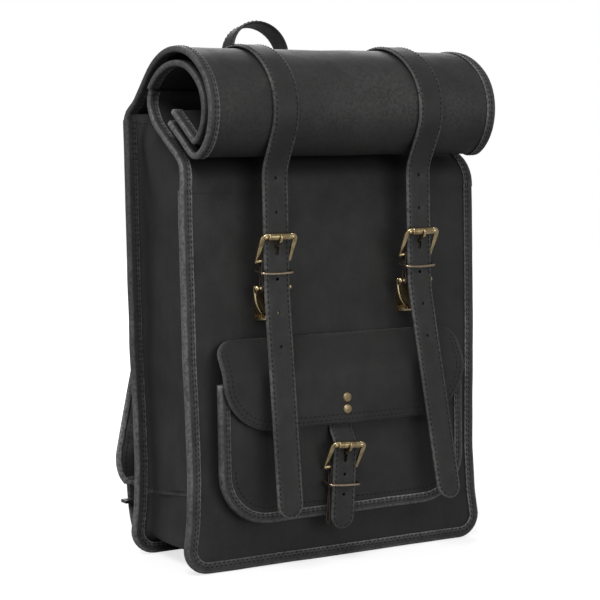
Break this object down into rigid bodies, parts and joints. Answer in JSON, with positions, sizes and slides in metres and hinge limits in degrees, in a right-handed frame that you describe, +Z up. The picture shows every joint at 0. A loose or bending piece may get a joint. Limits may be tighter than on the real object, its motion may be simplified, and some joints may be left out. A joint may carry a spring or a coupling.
{
  "type": "roll-top backpack",
  "caption": "Roll-top leather backpack with buckled closure straps, flap pocket, haul handle and padded shoulder straps.",
  "frame": {"origin": "on the ground under the middle of the bag's overall width and depth, from the front of the roll's straps to the back of the shoulder straps", "axes": "+X to the right seen from the front, +Y from the front panel towards the wearer's back, +Z up"},
  "size_m": [0.3256, 0.213, 0.4938],
  "materials": {
    "body_leather": "matte pull-up leather",
    "strap_leather": "matte bridle leather, worn edges",
    "binding_leather": "worn bound edge",
    "chape_leather": "leather with raw brown edges",
    "padded_leather": "padded leather",
    "lining_fabric": "woven cotton",
    "board": "stiff board",
    "antique_brass": "antique satin",
    "keeper_wire": "antique wire",
    "rivet_brass": "dull brass",
    "black_metal": "black coated satin"
  },
  "bodies": {
    "bag": {"front_panel": "body_leather", "back_panel": "body_leather", "front_fold": "body_leather", "left_gusset": "body_leather", "right_gusset": "body_leather", "bottom_panel": "body_leather", "front_binding": "binding_leather", "back_binding": "binding_leather", "lining": "lining_fabric", "laptop_sleeve": "lining_fabric", "base_board": "board", "pocket_front": "body_leather", "pocket_gusset": "body_leather", "pocket_binding": "binding_leather", "closure_anchors": "strap_leather", "back_yoke": "body_leather", "lower_tabs": "body_leather", "clasp_catches": "antique_brass", "magnet_socket": "antique_brass"},
    "roll_rise": {"back_tongue_rise": "body_leather", "front_tongue_rise": "body_leather", "closure_straps_rise": "strap_leather"},
    "roll_top": {"back_tongue_top": "body_leather", "front_tongue_top": "body_leather", "closure_straps_top": "strap_leather"},
    "roll_curl": {"back_tongue_curl": "body_leather", "front_tongue_curl": "body_leather", "closure_straps_crest": "strap_leather"},
    "pocket_flap": {"pocket_flap": "body_leather", "flap_rivets": "rivet_brass", "pocket_strap": "strap_leather", "pocket_chape": "chape_leather", "pocket_buckle_frame": "antique_brass", "pocket_keeper": "keeper_wire", "magnet_stud": "antique_brass"},
    "pocket_roller": {"pocket_roller": "antique_brass"},
    "pocket_prong": {"pocket_prong": "antique_brass"},
    "handle": {"handle_loop": "strap_leather"},
    "left_strap": {"left_strap_leg": "strap_leather", "left_chape": "chape_leather", "left_buckle_frame": "antique_brass", "left_keeper": "keeper_wire", "left_clasp": "antique_brass"},
    "left_roller": {"left_roller": "antique_brass"},
    "left_prong": {"left_prong": "antique_brass"},
    "left_tail": {"left_tail": "strap_leather"},
    "left_shoulder": {"left_shoulder_strap": "padded_leather", "left_slide": "black_metal", "left_lower_strap": "strap_leather"},
    "right_strap": {"right_strap_leg": "strap_leather", "right_chape": "chape_leather", "right_buckle_frame": "antique_brass", "right_keeper": "keeper_wire", "right_clasp": "antique_brass"},
    "right_roller": {"right_roller": "antique_brass"},
    "right_prong": {"right_prong": "antique_brass"},
    "right_tail": {"right_tail": "strap_leather"},
    "right_shoulder": {"right_shoulder_strap": "padded_leather", "right_slide": "black_metal", "right_lower_strap": "strap_leather"}
  },
  "joints": [
    {"name": "roll_open", "type": "hinge", "parent": "bag", "child": "roll_rise", "pos_m": [0, 0.05973, 0.40919], "axis": [-1, 0, 0], "range_deg": [0, 48]},
    {"name": "roll_top_bend", "type": "hinge", "parent": "roll_rise", "child": "roll_top", "pos_m": [0, 0.02171, 0.44167], "axis": [-1, 0, 0], "range_deg": [0, 40]},
    {"name": "roll_front_bend", "type": "hinge", "parent": "roll_top", "child": "roll_curl", "pos_m": [0, -0.09301, 0.43686], "axis": [-1, 0, 0], "range_deg": [0, 62]},
    {"name": "left_strap_lift", "type": "hinge", "parent": "roll_curl", "child": "left_strap", "pos_m": [-0.0745, -0.10043, 0.37934], "axis": [-1, 0, 0], "range_deg": [0, 100], "stiffness_Nm_per_rad": 0.6},
    {"name": "left_roller_turn", "type": "hinge", "parent": "left_strap", "child": "left_roller", "pos_m": [-0.0745, -0.08768, 0.293], "axis": [1, 0, 0], "continuous": true},
    {"name": "left_prong_swing", "type": "hinge", "parent": "left_strap", "child": "left_prong", "pos_m": [-0.0745, -0.07538, 0.272], "axis": [1, 0, 0], "range_deg": [0, 3.5], "stiffness_Nm_per_rad": 0.02},
    {"name": "left_tail_bend", "type": "hinge", "parent": "left_strap", "child": "left_tail", "pos_m": [-0.0745, -0.08378, 0.2446], "axis": [-1, 0, 0], "range_deg": [0, 92]},
    {"name": "right_strap_lift", "type": "hinge", "parent": "roll_curl", "child": "right_strap", "pos_m": [0.0745, -0.10043, 0.37934], "axis": [-1, 0, 0], "range_deg": [0, 100], "stiffness_Nm_per_rad": 0.6},
    {"name": "right_roller_turn", "type": "hinge", "parent": "right_strap", "child": "right_roller", "pos_m": [0.0745, -0.08768, 0.293], "axis": [1, 0, 0], "continuous": true},
    {"name": "right_prong_swing", "type": "hinge", "parent": "right_strap", "child": "right_prong", "pos_m": [0.0745, -0.07538, 0.272], "axis": [1, 0, 0], "range_deg": [0, 3.5], "stiffness_Nm_per_rad": 0.02},
    {"name": "right_tail_bend", "type": "hinge", "parent": "right_strap", "child": "right_tail", "pos_m": [0.0745, -0.08378, 0.2446], "axis": [-1, 0, 0], "range_deg": [0, 92]},
    {"name": "flap_open", "type": "hinge", "parent": "bag", "child": "pocket_flap", "pos_m": [0, -0.0595, 0.2032], "axis": [-1, 0, 0], "range_deg": [0, 90]},
    {"name": "pocket_roller_turn", "type": "hinge", "parent": "pocket_flap", "child": "pocket_roller", "pos_m": [-0.00879, -0.08969, 0.1061], "axis": [0.9976, 0, -0.0698], "continuous": true},
    {"name": "pocket_prong_swing", "type": "hinge", "parent": "pocket_flap", "child": "pocket_prong", "pos_m": [-0.01026, -0.07739, 0.08515], "axis": [0.9976, 0, -0.0698], "range_deg": [0, 3.5], "stiffness_Nm_per_rad": 0.02},
    {"name": "handle_fold", "type": "hinge", "parent": "bag", "child": "handle", "pos_m": [0, 0.0725, 0.399], "axis": [-1, 0, 0], "range_deg": [-8, 110], "stiffness_Nm_per_rad": 0.6},
    {"name": "left_shoulder_swing", "type": "hinge", "parent": "bag", "child": "left_shoulder", "pos_m": [-0.052, 0.06, 0.345], "axis": [-0.2446, 0, -0.9696], "range_deg": [-12, 12], "stiffness_Nm_per_rad": 2},
    {"name": "right_shoulder_swing", "type": "hinge", "parent": "bag", "child": "right_shoulder", "pos_m": [0.052, 0.06, 0.345], "axis": [0.2446, 0, -0.9696], "range_deg": [-12, 12], "stiffness_Nm_per_rad": 2}
  ],
  "couplings": [
    {"joint": "roll_top_bend", "follows": "roll_open", "ratio": 0.7917},
    {"joint": "roll_front_bend", "follows": "roll_open", "ratio": 1.25},
    {"joint": "left_tail_bend", "follows": "flap_open", "ratio": 1},
    {"joint": "right_tail_bend", "follows": "flap_open", "ratio": 1}
  ]
}
